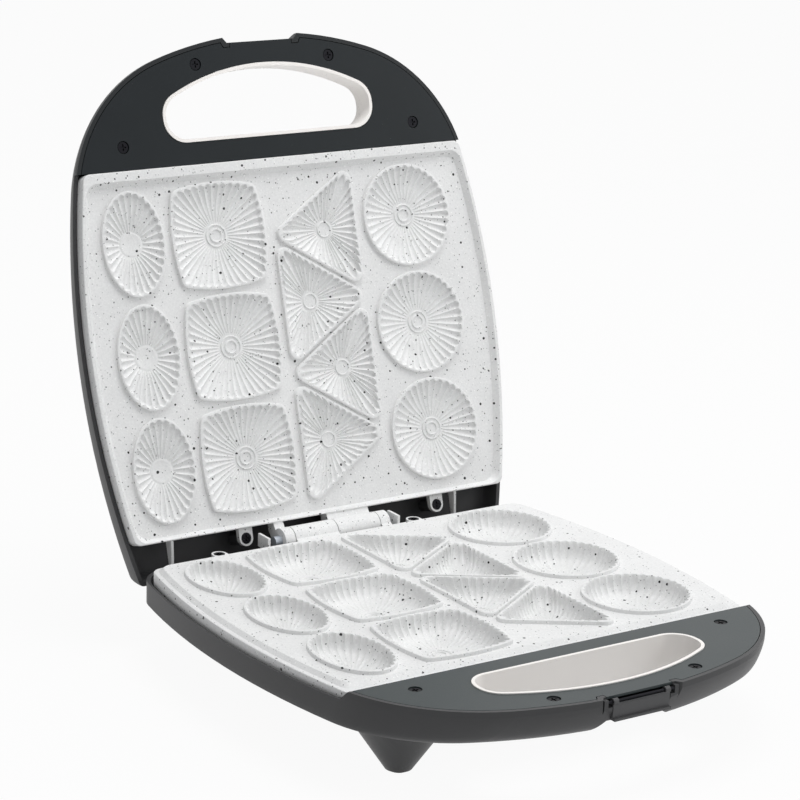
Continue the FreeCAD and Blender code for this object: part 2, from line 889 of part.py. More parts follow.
base_level = slope(base_back_drop, base_front_drop, base_back)
lid_level = slope(lid_back_rise, lid_front_rise, lid_back)
foot_places = [(s * foot_x, y) for y in (foot_front_y, foot_back_y) for s in (-1, 1)]
clip_pivot_y = notch_floor_y - clip_thick / 2 - cover_gap


def foot_cone(x, y, radius_drop, tip, top):
    r0 = foot_tip_radius - radius_drop + (floor_level + tip) * foot_flare
    r1 = foot_tip_radius - radius_drop + (floor_level + top) * foot_flare
    return Part.makeCone(r0, r1, top - tip, V(x, y, tip), V(0, 0, 1))


def opened(y, z):
    """Place in the opened lid of a point given with the lid shut."""
    angle = math.radians(open_angle)
    dy, dz = y - hinge_y, z - hinge_z
    across = dy * math.cos(angle) + dz * math.sin(angle)
    return V(0, hinge_y + across, hinge_z - dy * math.sin(angle) + dz * math.cos(angle))


def reflector_supports(level_at, level):
    """Posts on a housing's floor that carry the reflector, drawn for the base."""
    places = [(sx * support_x, sy * support_y) for sx in (-1, 1) for sy in (-1, 1)]
    top = -level - reflector_thick
    return [post(x, y, support_bite - level_at(y), top, support_radius) for x, y in places]


def rim_gap():
    """Groove in the base's side walls that keeps them off the skirt of the plate."""
    grow = side_gap + rim_groove
    groove = prism(plate_wire(even(-grow), base_corner + grow), -deep_skirt, clear_cut)
    return groove.common(block(-wide, wide, plate_front + base_corner, wide, -deep, clear_cut))


def base_housing():
    tip = -floor_level + pad_proud
    cones = []
    hollows = []
    for x, y in foot_places:
        top = -base_level(y) + wall
        cones.append(foot_cone(x, y, 0.0, tip, top))
        hollows.append(foot_cone(x, y, foot_hollow_step, tip + pad_height + foot_floor, top + clear_cut))
    body = housing_common(base_back, base_back_corner, base_level, base_draw_in, -1, base_rim,
                          base_lug_x, cones, hollows)
    cuts = [post(x, y, tip - clear_cut, tip + pad_height - pad_proud, pad_radius) for x, y in foot_places]
    inside = base_back - wall - clear_cut
    cuts.append(block(-back_gap_half, back_gap_half, inside, wide, -base_back_wall_top, clear_cut))
    half = vent_width / 2
    for i in range(vent_count):
        x = (i - (vent_count - 1) / 2) * vent_pitch
        for y in vent_rows:
            cuts.append(block(x - half, x + half, y, y + vent_length, -deep, -base_reflector_level))
    seat = gland_seat_level()
    cuts.append(post(0, gland_y, -deep, 0, gland_hole_radius))
    cuts.append(post(0, gland_y, -deep, seat, gland_flange_radius + fit_gap))
    cuts.append(post(0, gland_y, seat + gland_seat, 0, gland_flange_radius + fit_gap))
    cuts.append(clip_pin())
    cuts.append(rim_gap())
    supports = []
    stop = opened(lid_back, lid_rim[1])
    for side in (-1, 1):
        x0 = side * stop_x - stop_width / 2
        z0 = stop.z - stop_below
        supports.append(block(x0, x0 + stop_width, base_back - wall, stop.y - stop_gap, z0, z0 + stop_height))
    supports += reflector_supports(base_level, base_reflector_level)
    return body.cut(Part.makeCompound(cuts)).multiFuse(supports).removeSplitter()


def lid_housing():
    body = housing_common(lid_back, lid_back_corner, lid_level, lid_draw_in, 1, lid_rim,
                          lid_lug_x, [], [])
    body = body.multiFuse(reflector_supports(lid_level, lid_reflector_level))
    inside = lamp_length + 2 * wall - lid_level(lamp_y)
    holes = [post(side * lamp_x, lamp_y, -deep, inside, lens_radius) for side in (-1, 1)]
    return flipped(body.cut(Part.makeCompound(holes)).removeSplitter())


def foot_pads():
    low = -floor_level
    return Part.makeCompound([post(x, y, low, low + pad_height, pad_radius) for x, y in foot_places])


def reflector(way, level):
    z = sorted((way * level, way * (level + reflector_thick)))
    return prism(plate_wire(even(reflector_inset), field_corner), z[0], z[1])


def hinge_pin():
    left = -ear_outer - pin_left_overhang
    return bar(left, ear_outer + pin_right_overhang, hinge_y, hinge_z, pin_radius)


def lock_clip():
    y, z = clip_pivot_y, clip_pivot_z
    half = clip_thick / 2
    # the lip reaches over the edge of the lid's handle cover when the clip is swung up
    inner = cover_level + cover_lip_thick + clip_grip_gap - z
    outer = inner + clip_lip_thick
    tube = bar(-clip_half_width, clip_half_width, y, z, clip_knuckle_radius)
    panel = block(-clip_half_width, clip_half_width, y - half, y + half, z - outer, z)
    lip = block(-clip_half_width, clip_half_width, y - half - clip_lip, y, z - outer, z - inner)
    body = tube.fuse([panel, lip])
    # window between the two arms that reach down from the pivot
    open_half = clip_half_width - clip_arm
    window = block(-open_half, open_half, -wide, wide, clip_window_low, clear_cut)
    end = clip_half_width + clear_cut
    bore = bar(-end, end, y, z, clip_pin_radius + pin_running_gap)
    return body.cut(window).cut(bore).removeSplitter()


def clip_pin():
    end = notch_half_inner + clip_ear_bite / 2
    return bar(-end, end, clip_pivot_y, clip_pivot_z, clip_pin_radius)


def gland_seat_level():
    return gland_sunk - base_level(gland_y)


def cord_gland():
    """Bush through the underside for the supply cord."""
    seat = gland_seat_level()
    neck = post(0, gland_y, seat, seat + gland_seat, gland_hole_radius)
    flange = post(0, gland_y, seat - gland_flange, seat, gland_flange_radius)
    tip = V(0, gland_y, seat - gland_flange - gland_nose)
    nose = Part.makeCone(cord_bore_radius + gland_nose_wall, gland_hole_radius, gland_nose, tip, V(0, 0, 1))
    top = seat + gland_seat
    lock = post(0, gland_y, top, top + gland_lock, gland_flange_radius)
    bore = post(0, gland_y, -deep, 0, cord_bore_radius)
    return neck.multiFuse([flange, nose, lock]).cut(bore).removeSplitter()


def stat_place():
    return round_x + stat_offset, row_pitch / 2 + row_shift


def thermostat(way):
    """Disc thermostat on the back of a plate, with two tabs."""
    x, y = stat_place()
    z = -floor_depth - sheet
    flange = post(x, y, z - stat_flange, z, stat_flange_radius)
    pieces = [post(x, y, z - stat_height, z - stat_flange / 2, stat_radius)]
    half, thick = stat_tab_width / 2, stat_tab_thick / 2
    for side in (-1, 1):
        middle = x + side * stat_tab_x
        low, high = z - stat_tab_end, z - stat_height + stat_tab_thick
        pieces.append(block(middle - thick, middle + thick, y - half, y + half, low, high))
    body = flange.multiFuse(pieces).removeSplitter()
    return body if way < 0 else flipped(body)


def thermal_fuse():
    x = oval_x + fuse_offset
    y = row_pitch / 2 + row_shift
    z = -floor_depth - sheet - fuse_radius
    tube = Part.makeCylinder(fuse_radius, fuse_length, V(x, y - fuse_length / 2, z), V(0, 1, 0))
    start = V(x, y - fuse_lead_length / 2, z)
    leads = Part.makeCylinder(fuse_lead_radius, fuse_lead_length, start, V(0, 1, 0))
    return tube.fuse(leads)


def run(points, radius):
    """Insulated lead along straight runs with round corners."""
    pieces = []
    for a, b in zip(points[:-1], points[1:]):
        pieces.append(Part.makeCylinder(radius, b.sub(a).Length, a, b.sub(a)))
    for p in points[1:-1]:
        pieces.append(Part.makeSphere(radius, p))
    return joined(pieces)


def terminal_start():
    return base_lug_x[1] + lug_radius + terminal_gap


def terminal_block():
    x0 = terminal_start()
    half = terminal_depth / 2
    y = lug_y - half / 2
    z0 = wall - base_level(y - half)
    body = block(x0, x0 + terminal_ways * terminal_pitch, y - half, y + half, z0, z0 + terminal_height)
    cuts = []
    low, high = z0 + terminal_hole_floor, z0 + terminal_height + clear_cut
    for i in range(terminal_ways):
        x = x0 + (i + 0.5) * terminal_pitch
        cuts.append(post(x, y, low, high, terminal_hole_radius))
    return body.cut(Part.makeCompound(cuts))


def heater_pin_end():
    """Middle of the bare length of a heater's steel pin."""
    return heater_back_y + seal_length + heater_pin_length * 0.6


def base_leads():
    """Supply leads from the terminal block to the two ends of the heater."""
    y_pin = heater_pin_end()
    z = -base_heater_level
    low = wall + terminal_height / 2 - base_level(hinge_y)
    x_block = terminal_start()
    x_middle = x_block + terminal_pitch * terminal_ways / 2
    y_run = lug_y - boss_radius - 1.7 * lead_radius
    y_block = lug_y - terminal_depth * 0.75
    x_turn = heater_left_x + lead_turn_x
    left = [V(heater_left_x + heater_pin_radius, y_pin, z), V(x_turn, y_pin, z), V(x_turn, y_pin, low),
            V(x_turn, y_run, low), V(x_block, y_run, low)]
    right = [V(heater_right_x + heater_pin_radius, y_pin, z), V(x_middle, y_pin, z), V(x_middle, y_pin, low),
             V(x_middle, y_block, low)]
    return Part.makeCompound([run(left, lead_radius), run(right, lead_radius)])


def lid_lead():
    """Lead from the lid's heater end to its thermostat."""
    y_pin = heater_pin_end()
    z = lid_heater_level
    x_stat, y_stat = stat_place()
    x = x_stat + stat_tab_x
    level = floor_depth + sheet + stat_tab_end - lead_radius
    points = [V(heater_right_x + heater_pin_radius, y_pin, z), V(x, y_pin, z), V(x, y_pin, level),
              V(x, y_stat + stat_tab_width / 2, level)]
    return run(points, lead_radius)


def lamp_lens(x):
    top = lid_level(lamp_y)
    body = post(x, lamp_y, top - wall, top - lens_step, lens_radius)
    dome = Part.makeSphere(lens_radius * 1.25, V(x, lamp_y, top - lens_radius))
    cap = dome.common(post(x, lamp_y, top - 2 * lens_step, top + lens_radius, lens_radius))
    return body.fuse(cap).removeSplitter()


def lamps():
    top = lid_level(lamp_y) - wall
    places = [side * lamp_x for side in (-1, 1)]
    return Part.makeCompound([post(x, lamp_y, top - lamp_length, top, lamp_radius) for x in places])


base_pieces = {
    "base_housing": base_housing(),
    "base_handle_cover": handle_cover(-1),
    "base_grip_ring": grip_ring(base_level, -1),
    "base_plate": plate(-1, base_sheet(), [pin_guard(x) for x in guard_places],
                        dish_steps(-1, base_mould_depth, base_mould_profile), base_lug_x, base_heater_level),
    "base_heater": heater_rod(-base_heater_level),
    "base_heater_ends": heater_ends(-base_heater_level),
    "base_reflector": reflector(-1, base_reflector_level),
    "base_cover_screws": cover_screws(-1),
    "base_plate_screws": plate_screws(base_lug_x, -1),
    "foot_pads": foot_pads(),
    "hinge_pin": hinge_pin(),
    "cord_gland": cord_gland(),
    "base_thermostat": thermostat(-1),
    "thermal_fuse": thermal_fuse(),
    "terminal_block": terminal_block(),
    "base_leads": base_leads(),
    "clip_pin": clip_pin(),
    "lock_clip": lock_clip(),
}

lid_pieces = {
    "lid_housing": lid_housing(),
    "lid_handle_cover": handle_cover(1),
    "lid_grip_ring": grip_ring(lid_level, 1),
    "lid_plate": plate(1, lid_sheet(), [lid_fin(x) for x in lid_fin_places],
                       dish_steps(1, lid_mould_depth, lid_mould_profile), lid_lug_x, lid_heater_level),
    "lid_heater": heater_rod(lid_heater_level),
    "lid_heater_ends": heater_ends(lid_heater_level),
    "lid_reflector": reflector(1, lid_reflector_level),
    "lid_cover_screws": cover_screws(1),
    "lid_plate_screws": plate_screws(lid_lug_x, 1),
    "lid_thermostat": thermostat(1),
    "lid_lead": lid_lead(),
    "power_lamp_lens": lamp_lens(-lamp_x),
    "ready_lamp_lens": lamp_lens(lamp_x),
    "indicator_lamps": lamps(),
}

os.makedirs("parts", exist_ok=True)
place = V(0, -frame_y, floor_level)
for name, shape in base_pieces.items():
    piece = shape.copy()
    piece.translate(place)
    piece.exportStep("parts/" + name + ".step")
for name, shape in lid_pieces.items():
    piece = shape.copy()
    piece.rotate(V(0, hinge_y, hinge_z), V(1, 0, 0), -open_angle)
    piece.translate(place)
    piece.exportStep("parts/" + name + ".step")
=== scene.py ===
import json
import math

import bpy
import numpy as np
from mathutils import Matrix, Vector


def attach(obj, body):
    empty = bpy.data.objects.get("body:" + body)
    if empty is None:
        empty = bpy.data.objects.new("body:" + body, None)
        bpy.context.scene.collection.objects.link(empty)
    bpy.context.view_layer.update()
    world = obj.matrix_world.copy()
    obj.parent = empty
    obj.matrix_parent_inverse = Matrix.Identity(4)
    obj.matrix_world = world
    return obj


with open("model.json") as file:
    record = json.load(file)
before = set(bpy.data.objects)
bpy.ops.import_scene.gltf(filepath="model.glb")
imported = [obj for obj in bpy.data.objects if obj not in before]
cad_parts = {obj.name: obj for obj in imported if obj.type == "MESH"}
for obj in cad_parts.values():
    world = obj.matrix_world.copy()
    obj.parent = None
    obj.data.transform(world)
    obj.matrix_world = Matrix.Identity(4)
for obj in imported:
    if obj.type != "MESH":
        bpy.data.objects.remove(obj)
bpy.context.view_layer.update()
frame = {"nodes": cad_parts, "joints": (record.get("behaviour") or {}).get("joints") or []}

MM = 0.001

# Moulds of one plate, seen from above with the lid shut, in millimetres
ROW_PITCH = 65.0
ROW_SHIFT = 0.6
OVAL_X = -101.0
OVAL_HALF = (19.8, 30.2)
SQUARE_X = -45.5
SQUARE_CORE = 23.2
SQUARE_BOW = 2.7
SQUARE_CORNER = 5.0
ROUND_X = 84.5
ROUND_RADIUS = 30.5
TRIANGLE_PITCH = 41.2
TRIANGLE_SHIFT = 0.75
TRIANGLE_X = (11.49, 27.51)
TRIANGLE_CORE = 14.99
TRIANGLE_HALF_SIDE = 27.25
TRIANGLE_TIP = 28.01
TRIANGLE_CORNER = 5.5

# Points on a round edge, on one side and on one corner, before the flutes are laid out
ROUND_STEPS = 721
SIDE_STEPS = 120
CORNER_STEPS = 25

# Flutes: one ridge to the next, and where the points of one flute lie between its two ridges
FLUTE_PITCH = 5.2
FLUTE_POINTS = (0.0, 0.05, 0.14, 0.29, 0.5, 0.71, 0.86, 0.95)

# A mould's section from outside in: inset from its edge, depth under the parting plane, and how far
# a ridge stands inwards and up out of the valley beside it
LIP = [
    (-0.5, 2.5, 0, 0),
    (-0.38, 1.7, 0, 0),
    (-0.26, 0.55, 0, 0),
    (-0.12, 0.22, 0, 0),
    (0.15, 0.1, 0, 0),
    (0.5, 0.07, 0.25, 0),
    (0.72, 0.1, 1.5, 0),
]
BASE_WALL = [
    (0.86, 0.35, 1.75, 0.0),
    (1.12, 1.5, 1.85, 0.0),
    (1.55, 3.2, 1.85, 0.0),
    (2.05, 5.1, 1.75, 0.0),
    (2.95, 6.8, 1.55, 0.1),
    (4.35, 8.8, 1.2, 0.25),
]
LID_WALL = [
    (0.86, 0.35, 1.8, 0.0),
    (1.05, 0.9, 1.95, 0.05),
    (1.35, 1.6, 2.0, 0.3),
    (1.9, 2.0, 1.8, 0.75),
    (2.8, 2.28, 1.2, 1.1),
]

# The bottom further in: inset, depth and how far a ridge stands up. It ends at a flat disc, and
# rings past FLOOR_END of the way there are left out. DISC_EDGE is how far in the disc turns level,
# and DISC_RIDGE the share of the last ridge that is left at its edge.
BASE_FLOOR = [(5.8, 10.0, 0.6), (7.9, 11.4, 0.5), (10.6, 12.4, 0.35), (14.0, 12.85, 0.25)]
LID_FLOOR = [(4.6, 2.75, 1.1), (7.2, 3.45, 0.95), (10.2, 4.25, 0.75), (13.5, 4.7, 0.5)]
FLOOR_END = 0.95
BASE_DISC_DEPTH = 12.95
LID_DISC_DEPTH = 4.85
DISC_EDGE = 0.5
DISC_RIDGE = 0.8

# Raised rings on the disc: radius, height and half width, and their section in shares of these two
DOUBLE_RING = ((6.3, 0.7, 0.65), (3.7, 0.85, 0.75))
SINGLE_RING = ((4.4, 0.7, 0.65),)
FAINT_RING = ((6.3, 0.12, 0.8),)
RING_SECTION = ((1, 0), (0.55, 0.8), (0, 1), (-0.55, 0.8), (-1, 0))

# Radius of the disc in each kind of mould
OVAL_DISC = 8.0
SQUARE_DISC = 8.6
ROUND_DISC = 8.6
TRIANGLE_DISC = 6.4

# Thickness of a mould's shell of coating, the angle past which an edge stays sharp, and how close
# two points are merged
COATING = 0.35
CREASE = math.radians(38)
MERGE = 0.002

# Shut lid to open lid, about the hinge
HINGE = next(joint for joint in frame["joints"] if joint["name"] == "lid_hinge")
HINGE_AT = Matrix.Translation(HINGE["pos_m"])
OPEN_ANGLE = math.radians(HINGE["range_deg"][1])
LIFT = HINGE_AT @ Matrix.Rotation(-OPEN_ANGLE, 4, "X") @ HINGE_AT.inverted()

# The shut plates' own origin in the part's frame
PLATE_ORIGIN = Vector((0.0, -19.77, 57.0)) * MM

# The lid housing's front rim is painted shade: as dark as the lid cover to this depth, and then
# fading to the grey of its sides
LID_RIM_SHADE_END = 4.6 * MM
LID_RIM_SHADE_FADE = 1.5 * MM

# The studio's soft light, and how much more of it comes from the right and the front
STUDIO_LEVEL = 0.49
STUDIO_LEAN = (0.4, -0.35, 0.0)
STUDIO_TINT = (0.97, 0.985, 1.0, 1.0)

# What the lamps face, the side of the floor, and how much of it is plain white where it is seen
LAMPS_FACE = Vector((0.0, 0.0, 0.1))
FLOOR_SIDE = 12.0
FLOOR_WHITE = 0.94

# Camera
CAMERA_AT = (-0.825885, -1.203345, 0.572052)
CAMERA_RIGHT = (0.83501, -0.54946, 0.02911)
CAMERA_UP = (0.12739, 0.24451, 0.96124)
CAMERA_BACK = (-0.53528, -0.79894, 0.27417)
SENSOR = 36.0
LENS = 124.414


class Wire:
    """One output of a node tree. An expression on wires adds its Math nodes."""

    def __init__(self, tree, out=None):
        self.tree = tree
        self.out = out

    def add(self, kind, inputs=None, out=0, **settings):
        """A new node of a type, with its settings and the values or links of its sockets."""
        node = self.tree.nodes.new(kind)
        for name, value in settings.items():
            setattr(node, name, value)
        for name, value in (inputs or {}).items():
            if isinstance(value, Wire):
                self.tree.links.new(value.out, node.inputs[name])
            else:
                node.inputs[name].default_value = value
        return Wire(self.tree, node.outputs[out])

    def math(self, operation, first, second):
        return self.add("ShaderNodeMath", {0: first, 1: second}, operation=operation)

    def __add__(self, other):
        return self.math("ADD", self, other)

    def __radd__(self, other):
        return self.math("ADD", other, self)

    def __sub__(self, other):
        return self.math("SUBTRACT", self, other)

    def __rsub__(self, other):
        return self.math("SUBTRACT", other, self)

    def __mul__(self, other):
        return self.math("MULTIPLY", self, other)

    def __rmul__(self, other):
        return self.math("MULTIPLY", other, self)

    def __truediv__(self, other):
        return self.math("DIVIDE", self, other)

    def __rtruediv__(self, other):
        return self.math("DIVIDE", other, self)

    def limited(self):
        return self.add("ShaderNodeClamp", {"Value": self})

    def vector(self, operation, inputs, out="Vector"):
        return self.add("ShaderNodeVectorMath", inputs, out, operation=operation)

    def mixed(self, factor, first, second):
        return self.add("ShaderNodeMix", {0: factor, 6: first, 7: second}, out=2, data_type="RGBA")

    def noise(self, size, detail=2.0, rough=0.5, stretch=(1, 1, 1)):
        at = self.add("ShaderNodeMapping", {"Vector": self, "Scale": stretch})
        options = {"Vector": at, "Scale": 1 / size, "Detail": detail, "Roughness": rough}
        return self.add("ShaderNodeTexNoise", options)

    def ragged(self, size):
        """The place, pushed sideways by up to a quarter of the size, which roughens specks."""
        options = {"Vector": self, "Scale": 1 / size, "Detail": 1.0}
        push = self.add("ShaderNodeTexNoise", options, out="Color")
        push = push.vector("SUBTRACT", {0: push, 1: (0.5, 0.5, 0.5)})
        push = push.vector("SCALE", {0: push, "Scale": size / 2})
        return push.vector("ADD", {0: push, 1: self})

    def specks(self, cell, radius, soft, share, spread=0.0):
        """Specks: 1 inside one, 0 outside.

        share is the share of the cells that hold one, and spread how much smaller the smallest is.
        """
        options = {"Vector": self, "Scale": 1 / cell}
        distance = self.add("ShaderNodeTexVoronoi", options, out="Distance")
        draw = self.add("ShaderNodeTexVoronoi", options, out="Color")
        chance = self.add("ShaderNodeSeparateColor", {"Color": draw}, out="Red")
        small = self.add("ShaderNodeSeparateColor", {"Color": draw}, out="Green")
        held = self.math("LESS_THAN", chance, share)
        return ((radius - small * (radius * spread) - distance * cell) / soft).limited() * held

    def depth_in_lid(self):
        """Depth of a place under the lid's parting plane."""
        inwards = LIFT.to_3x3() @ Vector((0, 0, 1))
        height = self.vector("DOT_PRODUCT", {0: self, 1: inwards}, "Value")
        return height - inwards.dot(LIFT @ PLATE_ORIGIN)


def rgb(red, green, blue):
    """A colour as it is seen on a screen, 11 to 255, in the linear values that a shader takes."""
    return (*[((value / 255 + 0.055) / 1.055) ** 2.4 for value in (red, green, blue)], 1.0)


def new_finish(name):
    """An empty material, its shader node, and the Object coordinates."""
    material = bpy.data.materials.new(name)
    material.use_nodes = True
    shader = material.node_tree.nodes["Principled BSDF"]
    start = Wire(material.node_tree)
    return material, shader, start.add("ShaderNodeTexCoord", out="Object")


def set_shader(shader, varying, **constant):
    """Constants go on the shader's own sockets, and what varies is linked."""
    for name, value in constant.items():
        shader.inputs[name.replace("_", " ")].default_value = value
    for name, wire in varying.items():
        wire.tree.links.new(wire.out, shader.inputs[name])


def bumped(height, depth):
    return height.add("ShaderNodeBump", {"Height": height, "Distance": depth, "Strength": 1.0})


def speckled_coating(name):
    """Warm white stone-look coating: sprayed skin, black, grey and white specks of mixed sizes."""
    material, shader, at = new_finish(name)
    cloud = at.noise(0.03, detail=3.0)
    grain = at.noise(0.0012, rough=0.65)
    colour = at.mixed(cloud * 0.35 + grain * 0.65, rgb(210, 210, 210), rgb(252, 252, 251))
    ragged = at.ragged(0.0011)
    white = ragged.specks(cell=0.0027, radius=0.00045, soft=0.00012, share=0.8)
    colour = at.mixed(white * 0.8, colour, rgb(254, 254, 253))
    pale = ragged.specks(cell=0.0024, radius=0.00042, soft=0.00012, share=0.95, spread=0.4)
    colour = at.mixed(pale * 0.7, colour, rgb(112, 112, 112))
    fine = ragged.specks(cell=0.0034, radius=0.00052, soft=0.0001, share=0.9, spread=0.5)
    colour = at.mixed(fine * 0.9, colour, rgb(44, 44, 46))
    bold = ragged.specks(cell=0.006, radius=0.00092, soft=0.0001, share=0.8, spread=0.6)
    colour = at.mixed(bold, colour, rgb(14, 14, 16))
    skin = grain * 0.7 + white * 0.8
    varying = {
        "Base Color": colour,
        "Roughness": 0.32 + grain * 0.2,
        "Normal": bumped(skin, 0.00012),
    }
    set_shader(shader, varying, Specular_IOR_Level=0.4)
    return material


def moulded_plastic(name, dark, light, roughness, grain, depth, gloss, rim_shade=None):
    """Satin moulded plastic: a faint cloud in the colour and a fine spark-etched skin.

    grain and depth are the size and height of the skin in metres. The last argument, where given,
    is painted shade: a darker colour painted on the edge that the lid's cover lies in.
    """
    material, shader, at = new_finish(name)
    cloud = at.noise(0.05, detail=4.0, rough=0.6)
    skin = at.noise(grain, detail=3.0, rough=0.6)
    dust = at.specks(cell=0.004, radius=0.00022, soft=0.00012, share=0.25)
    colour = at.mixed(cloud, dark, light)
    if rim_shade:
        # Painted shade: the front rim of the lid housing darkens to the lid cover's shaded colour,
        # fading out with depth
        in_rim_shade = (LID_RIM_SHADE_END - at.depth_in_lid()) / LID_RIM_SHADE_FADE
        colour = at.mixed(in_rim_shade.limited(), colour, rim_shade)
    colour = at.mixed(dust * 0.12, colour, rgb(190, 190, 190))
    varying = {
        "Base Color": colour,
        "Roughness": roughness + (cloud - 0.5) * 0.12 + (skin - 0.5) * 0.08,
        "Normal": bumped(skin, depth),
    }
    set_shader(shader, varying, Specular_IOR_Level=gloss)
    return material


def drawn_metal(name, dark, light, roughness, stretch, metallic=1.0):
    """Drawn or rolled metal: fine lines along the length and a slight stain."""
    material, shader, at = new_finish(name)
    lines = at.noise(0.0006, stretch=stretch)
    stain = at.noise(0.012, detail=3.0)
    varying = {
        "Base Color": at.mixed(stain * 0.6 + lines * 0.4, dark, light),
        "Roughness": roughness + (lines - 0.5) * 0.2 + (stain - 0.5) * 0.1,
        "Normal": bumped(lines, 0.00003),
    }
    set_shader(shader, varying, Metallic=metallic)
    return material


def tinted_lens(name, deep, bright):
    """Clear coloured plastic with a faint flow in its tint."""
    material, shader, at = new_finish(name)
    flow = at.noise(0.004)
    varying = {"Base Color": at.mixed(flow, deep, bright), "Roughness": 0.08 + flow * 0.08}
    set_shader(shader, varying, Transmission_Weight=0.55, IOR=1.49)
    return material


# One finish for each material slot of the CAD nodes, and one more for the lid housing with its
# painted rim shade
FINISHES = {
    "plate_coating": speckled_coating("speckled_coating"),
    "housing_plastic": moulded_plastic(
        "housing_grey", rgb(65, 65, 66), rgb(73, 73, 74),
        roughness=0.42, grain=0.0007, depth=0.00004, gloss=0.22,
    ),
    # The lid housing: the same grey plastic, with a painted shade on its front rim
    "lid_housing": moulded_plastic(
        "lid_housing_grey_rim_shaded", rgb(64, 64, 65), rgb(72, 72, 73),
        roughness=0.42, grain=0.0007, depth=0.00004, gloss=0.25, rim_shade=rgb(31, 34, 36),
    ),
    "base_cover_plastic": moulded_plastic(
        "base_cover_slate", rgb(52, 59, 60), rgb(60, 67, 68),
        roughness=0.36, grain=0.0008, depth=0.00003, gloss=0.28,
    ),
    # The lid cover: the base cover's plastic painted darker, a painted shade for the upright lid's
    # front
    "lid_cover_plastic": moulded_plastic(
        "lid_cover_painted_shade", rgb(24, 29, 32), rgb(31, 36, 39),
        roughness=0.36, grain=0.0008, depth=0.00003, gloss=0.2,
    ),
    "ring_plastic": moulded_plastic(
        "ring_white", rgb(246, 242, 238), rgb(252, 248, 244),
        roughness=0.3, grain=0.0012, depth=0.00002, gloss=0.4,
    ),
    "clip_plastic": moulded_plastic(
        "clip_grey", rgb(74, 74, 75), rgb(84, 84, 85),
        roughness=0.42, grain=0.0007, depth=0.00004, gloss=0.3,
    ),
    "black_screw": drawn_metal(
        "black_screw", rgb(20, 20, 22), rgb(46, 46, 50), roughness=0.42, stretch=(1, 1, 1)
    ),
    "plain_steel": drawn_metal(
        "plain_steel", rgb(168, 176, 186), rgb(206, 212, 220),
        roughness=0.34, stretch=(0.1, 1, 1), metallic=0.6,
    ),
    "ceramic": moulded_plastic(
        "heater_ceramic", rgb(214, 206, 190), rgb(228, 222, 208),
        roughness=0.6, grain=0.0006, depth=0.00006, gloss=0.4,
    ),
    "reflector_sheet": drawn_metal(
        "reflector_sheet", rgb(176, 178, 180), rgb(214, 216, 218),
        roughness=0.34, stretch=(1, 0.06, 1),
    ),
    "thermostat_body": moulded_plastic(
        "thermostat_brown", rgb(96, 64, 42), rgb(118, 82, 56),
        roughness=0.5, grain=0.0008, depth=0.00004, gloss=0.4,
    ),
    "lead_sleeve": moulded_plastic(
        "lead_sleeve", rgb(196, 190, 172), rgb(214, 208, 192),
        roughness=0.7, grain=0.0005, depth=0.00012, gloss=0.3,
    ),
    "foot_rubber": moulded_plastic(
        "foot_rubber", rgb(28, 28, 28), rgb(40, 40, 40),
        roughness=0.75, grain=0.0007, depth=0.00006, gloss=0.3,
    ),
    "red_lens": tinted_lens("red_lens", rgb(150, 14, 12), rgb(206, 40, 30)),
    "green_lens": tinted_lens("green_lens", rgb(16, 120, 44), rgb(48, 176, 80)),
    "lamp_glass": tinted_lens("lamp_glass", rgb(226, 220, 204), rgb(244, 240, 230)),
}


def dress_cad_nodes():
    for node in frame["nodes"].values():
        for slot in node.material_slots:
            slot.material = FINISHES[slot.material.name]
    frame["nodes"]["lid_housing"].material_slots[0].material = FINISHES["lid_housing"]


def circle(start, sweep, steps):
    """Points of a unit arc."""
    angle = start + sweep * np.linspace(0, 1, steps)
    return np.stack([np.cos(angle), np.sin(angle)], axis=1)


def turned(points, angle):
    cos, sin = math.cos(angle), math.sin(angle)
    return points @ np.array([[cos, sin], [-sin, cos]])


def round_edge(radii):
    """A round or oval mould: points on its edge, and each point's step for one unit of inset."""
    out = circle(0, 2 * math.pi, ROUND_STEPS)
    return out * radii, -out


def cornered_edge(sides, core_inset, corner):
    """A mould with rounded corners: sides are (points, normals) of its core, anticlockwise."""
    cores, normals = [], []
    for index, (points, side_normals) in enumerate(sides):
        after = sides[(index + 1) % len(sides)][1][0]
        start = math.atan2(side_normals[-1][1], side_normals[-1][0])
        sweep = (math.atan2(after[1], after[0]) - start) % (2 * math.pi)
        cores += [points, np.repeat(points[-1:], CORNER_STEPS, axis=0)]
        normals += [side_normals, circle(start, sweep, CORNER_STEPS)]
    core = np.concatenate(cores + [cores[0][:1]])
    normal = np.concatenate(normals + [normals[0][:1]])
    return core + corner * normal, core / -core_inset


def square_edge():
    """Four sides that bow outwards."""
    bow_radius = (SQUARE_CORE**2 + SQUARE_BOW**2) / (2 * SQUARE_BOW)
    half_angle = math.asin(SQUARE_CORE / bow_radius)
    normal = circle(-half_angle, 2 * half_angle, SIDE_STEPS)
    side = normal * bow_radius + (SQUARE_CORE + SQUARE_BOW - bow_radius, 0)
    quarters = [turn * math.pi / 2 for turn in range(4)]
    sides = [(turned(side, angle), turned(normal, angle)) for angle in quarters]
    return cornered_edge(sides, SQUARE_CORE, SQUARE_CORNER)


def triangle_edge():
    """Three straight sides, the tip towards +X."""
    tip = np.array([TRIANGLE_TIP, 0.0])
    left = np.array([-TRIANGLE_CORE, TRIANGLE_HALF_SIDE])
    right = np.array([-TRIANGLE_CORE, -TRIANGLE_HALF_SIDE])
    sides = []
    for start, end in ((tip, left), (left, right), (right, tip)):
        points = start + (end - start) * np.linspace(0, 1, SIDE_STEPS)[:, None]
        along = (end - start) / np.linalg.norm(end - start)
        sides.append((points, np.repeat([[along[1], -along[0]]], SIDE_STEPS, axis=0)))
    return cornered_edge(sides, TRIANGLE_CORE, TRIANGLE_CORNER)


